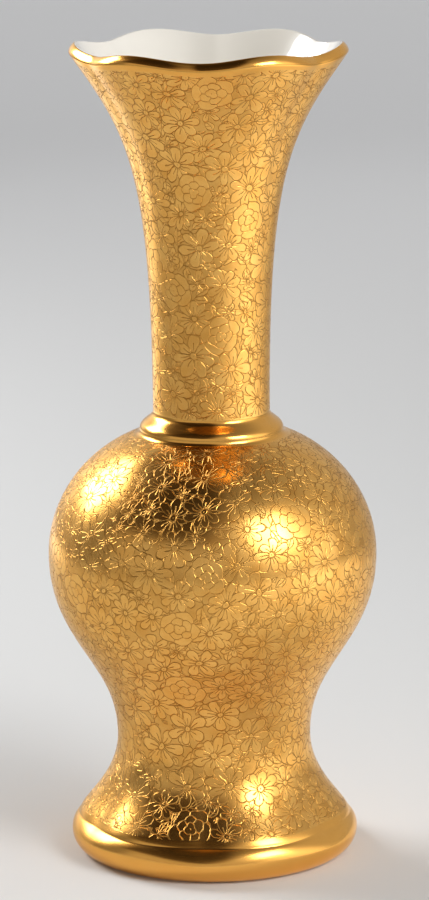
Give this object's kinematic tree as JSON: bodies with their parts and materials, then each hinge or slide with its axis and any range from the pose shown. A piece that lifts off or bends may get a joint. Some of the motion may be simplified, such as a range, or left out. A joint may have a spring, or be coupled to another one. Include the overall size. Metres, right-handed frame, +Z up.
{
  "type": "bud vase",
  "caption": "Slender gilded porcelain bud vase with a scalloped trumpet mouth, a collared neck, a round bulb and a lobed, flared foot.",
  "frame": {"origin": "middle of the foot ring, on the surface that the vase stands on", "axes": "+Z up through the mouth; -Y towards the front, with one crease of the lobes 4 degrees to the left of it; +X to the right"},
  "size_m": [0.0806, 0.0806, 0.2008],
  "materials": {
    "glazed_porcelain": "white porcelain under a clear, glossy glaze",
    "burnished_gold": "porcelain with a smooth, bright burnished gold surface",
    "etched_gold": "satin gold over an etched all-over pattern of flowers and leaves"
  },
  "bodies": {
    "root": {"lower_casting": "glazed_porcelain", "neck_casting": "glazed_porcelain", "foot_band": "burnished_gold", "body_gilding": "etched_gold", "collar_ring": "burnished_gold", "neck_gilding": "etched_gold", "lip_bead": "burnished_gold"}
  },
  "joints": []
}
